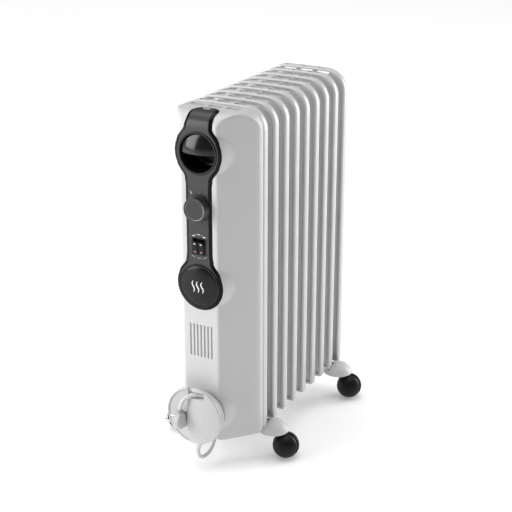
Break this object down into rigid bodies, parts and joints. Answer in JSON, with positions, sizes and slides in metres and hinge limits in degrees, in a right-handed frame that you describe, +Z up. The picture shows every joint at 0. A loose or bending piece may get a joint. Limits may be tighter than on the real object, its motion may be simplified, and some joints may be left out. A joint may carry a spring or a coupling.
{
  "type": "oil filled radiator heater",
  "caption": "free-standing oil filled electric radiator with a tall control housing, carrying grip, rocker switches, cord reel and ball casters",
  "frame": {"origin": "floor level under the middle of the heater's box, measured without the cord and plug", "axes": "+Z up; +Y from the control housing to the rear fin; +X to the right as seen from the control housing"},
  "size_m": [0.2696, 0.4565, 0.641],
  "materials": {
    "fin_paint": "fine satin enamel, faint orange peel",
    "bare_steel": "rolled sheet, dull",
    "element_steel": "heat-darkened tube",
    "zinc_steel": "bright zinc plate",
    "ceramic": "glazed ceramic",
    "brass": "bare, dull",
    "housing_plastic": "fine-grained moulded plastic",
    "reel_plastic": "fine-grained moulded plastic",
    "cap_plastic": "fine-grained moulded plastic",
    "fascia_plastic": "satin dark grey",
    "black_plastic": "satin black",
    "dome_gloss": "polished dark grey",
    "badge_gloss": "polished dark grey",
    "knob_plastic": "semi-gloss dark grey",
    "rocker_plastic": "smoked, semi-gloss",
    "phenolic": "moulded phenolic",
    "nylon": "natural nylon",
    "wire_insulation": "silicone sleeve",
    "cord_pvc": "soft pvc",
    "plug_plastic": "soft moulded pvc",
    "plug_nickel": "nickel plate",
    "yoke_nylon": "moulded nylon",
    "ball_plastic": "polished black"
  },
  "bodies": {
    "heater": {"fin_1": "fin_paint", "fin_2": "fin_paint", "fin_3": "fin_paint", "fin_4": "fin_paint", "fin_5": "fin_paint", "fin_6": "fin_paint", "fin_7": "fin_paint", "fin_8": "fin_paint", "fin_9": "fin_paint", "header_collars": "fin_paint", "header_caps": "bare_steel", "filler_plug": "bare_steel", "element_flange": "brass", "heating_elements": "element_steel", "element_terminals": "ceramic", "back_plate": "bare_steel", "housing_shell": "housing_plastic", "screws": "zinc_steel", "fascia": "fascia_plastic", "grip_cup": "black_plastic", "handle_dome": "dome_gloss", "badge_disc": "badge_gloss", "thermostat_body": "phenolic", "thermostat_nut": "zinc_steel", "switch_frame": "black_plastic", "switch_contacts": "brass", "thermal_cutout": "phenolic", "terminal_block": "nylon", "wiring": "wire_insulation", "earth_screw": "brass", "reel_drum": "housing_plastic", "reel_flange": "reel_plastic", "cord_gland": "cord_pvc", "cord_clamp": "nylon", "cord_lead": "cord_pvc", "cord_coil": "cord_pvc", "cord_tail": "cord_pvc", "plug_body": "plug_plastic", "plug_pins": "plug_nickel", "foot_bar_front": "zinc_steel", "foot_bar_rear": "zinc_steel", "u_bolts": "zinc_steel", "wing_nuts": "zinc_steel", "caster_bushes": "black_plastic", "foot_cap_front_right": "cap_plastic", "foot_cap_front_left": "cap_plastic", "foot_cap_rear_right": "cap_plastic", "foot_cap_rear_left": "cap_plastic"},
    "knob_turn": {"knob": "knob_plastic", "thermostat_shaft": "zinc_steel"},
    "rocker_left_body": {"rocker_left": "rocker_plastic"},
    "rocker_right_body": {"rocker_right": "rocker_plastic"},
    "caster_front_right": {"caster_yoke_front_right": "yoke_nylon"},
    "balls_front_right": {"ball_wheels_front_right": "ball_plastic"},
    "caster_front_left": {"caster_yoke_front_left": "yoke_nylon"},
    "balls_front_left": {"ball_wheels_front_left": "ball_plastic"},
    "caster_rear_right": {"caster_yoke_rear_right": "yoke_nylon"},
    "balls_rear_right": {"ball_wheels_rear_right": "ball_plastic"},
    "caster_rear_left": {"caster_yoke_rear_left": "yoke_nylon"},
    "balls_rear_left": {"ball_wheels_rear_left": "ball_plastic"}
  },
  "joints": [
    {"name": "knob_turn", "type": "hinge", "parent": "heater", "child": "knob_turn", "pos_m": [0, -0.194, 0.481], "axis": [0, 1, 0], "range_deg": [0, 270]},
    {"name": "rocker_left_press", "type": "hinge", "parent": "heater", "child": "rocker_left_body", "pos_m": [-0.0059, -0.177, 0.415], "axis": [-1, 0, 0], "range_deg": [0, 18]},
    {"name": "rocker_right_press", "type": "hinge", "parent": "heater", "child": "rocker_right_body", "pos_m": [0.0059, -0.177, 0.415], "axis": [-1, 0, 0], "range_deg": [0, 18]},
    {"name": "swivel_front_right", "type": "hinge", "parent": "heater", "child": "caster_front_right", "pos_m": [0.087, -0.078, 0.056], "axis": [0, 0, 1], "continuous": true},
    {"name": "roll_front_right", "type": "hinge", "parent": "caster_front_right", "child": "balls_front_right", "pos_m": [0.111, -0.078, 0.02381], "axis": [0, 1, 0], "continuous": true},
    {"name": "swivel_front_left", "type": "hinge", "parent": "heater", "child": "caster_front_left", "pos_m": [-0.087, -0.078, 0.056], "axis": [0, 0, 1], "continuous": true},
    {"name": "roll_front_left", "type": "hinge", "parent": "caster_front_left", "child": "balls_front_left", "pos_m": [-0.111, -0.078, 0.02381], "axis": [0, 1, 0], "continuous": true},
    {"name": "swivel_rear_right", "type": "hinge", "parent": "heater", "child": "caster_rear_right", "pos_m": [0.087, 0.188, 0.056], "axis": [0, 0, 1], "continuous": true},
    {"name": "roll_rear_right", "type": "hinge", "parent": "caster_rear_right", "child": "balls_rear_right", "pos_m": [0.111, 0.188, 0.02381], "axis": [0, 1, 0], "continuous": true},
    {"name": "swivel_rear_left", "type": "hinge", "parent": "heater", "child": "caster_rear_left", "pos_m": [-0.087, 0.188, 0.056], "axis": [0, 0, 1], "continuous": true},
    {"name": "roll_rear_left", "type": "hinge", "parent": "caster_rear_left", "child": "balls_rear_left", "pos_m": [-0.111, 0.188, 0.02381], "axis": [0, 1, 0], "continuous": true}
  ]
}
